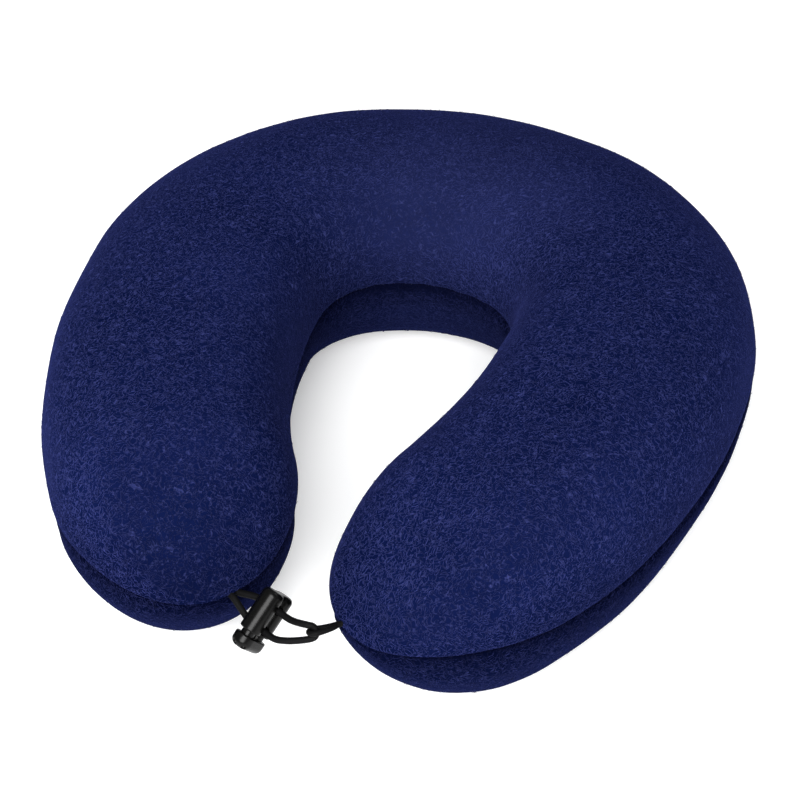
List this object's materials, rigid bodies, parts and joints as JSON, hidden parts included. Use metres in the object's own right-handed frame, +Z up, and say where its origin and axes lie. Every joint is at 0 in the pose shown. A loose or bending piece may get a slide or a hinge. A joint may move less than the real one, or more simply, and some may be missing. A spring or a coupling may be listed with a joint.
{
  "type": "u shaped neck pillow",
  "caption": "U-shaped travel neck pillow: a foam core in a two-panel pile cover with a back zip, and linked cords with a sliding toggle lock across the open tips.",
  "frame": {"origin": "centre of the bounding box of the pillow at its flat underside, where it lies on a table", "axes": "+Z up through the thickness; +Y towards the closed back, -Y towards the open tips; +X the pillow's side with the right cord"},
  "size_m": [0.2766, 0.3107, 0.0952],
  "materials": {
    "foam": "matte open-cell foam",
    "liner_fabric": "matte knitted",
    "pile_fabric": "soft short pile, navy",
    "zip_tape": "matte woven",
    "zip_coil": "satin",
    "zip_metal": "satin enamel, dark",
    "cord": "braided, black",
    "lock_plastic": "satin, black",
    "spring_steel": "bright wire"
  },
  "bodies": {
    "pillow": {"foam_core": "foam", "liner_upper": "liner_fabric", "liner_lower": "liner_fabric", "cover_top_panel": "pile_fabric", "cover_bottom_panel": "pile_fabric", "zip_tape_upper": "zip_tape", "zip_tape_lower": "zip_tape", "zip_coil_upper": "zip_coil", "zip_coil_lower": "zip_coil", "zip_top_stop_upper": "zip_metal", "zip_top_stop_lower": "zip_metal", "zip_bottom_stop": "zip_metal", "left_cord": "cord", "right_cord": "cord", "left_cord_anchor": "cord", "right_cord_anchor": "cord"},
    "slider": {"zip_slider": "zip_metal"},
    "pull_tab": {"zip_pull_tab": "zip_metal"},
    "cord_lock": {"cord_lock_barrel": "lock_plastic", "cord_lock_spring_near": "spring_steel", "cord_lock_spring_far": "spring_steel"},
    "lock_plunger": {"cord_lock_plunger": "lock_plastic"}
  },
  "joints": [
    {"name": "zip_run", "type": "hinge", "parent": "pillow", "child": "slider", "pos_m": [0, 0.0017, 0.0488], "axis": [0, 0, -1], "range_deg": [0, 39]},
    {"name": "pull_tab_swing", "type": "hinge", "parent": "slider", "child": "pull_tab", "pos_m": [-0.05099, 0.14569, 0.0488], "axis": [0.9426, 0.3338, 0], "range_deg": [-5, 150]},
    {"name": "cord_lock_slide", "type": "slide", "parent": "pillow", "child": "cord_lock", "axis": [0.8953, -0.4436, -0.0396], "range_m": [-0.002, 0.006]},
    {"name": "plunger_press", "type": "slide", "parent": "cord_lock", "child": "lock_plunger", "axis": [0.369, 0.6889, 0.6239], "range_m": [0, 0.0015], "stiffness_N_per_m": 300, "springref_m": -0.002, "deforming": ["cord_lock_spring_near", "cord_lock_spring_far"]}
  ]
}
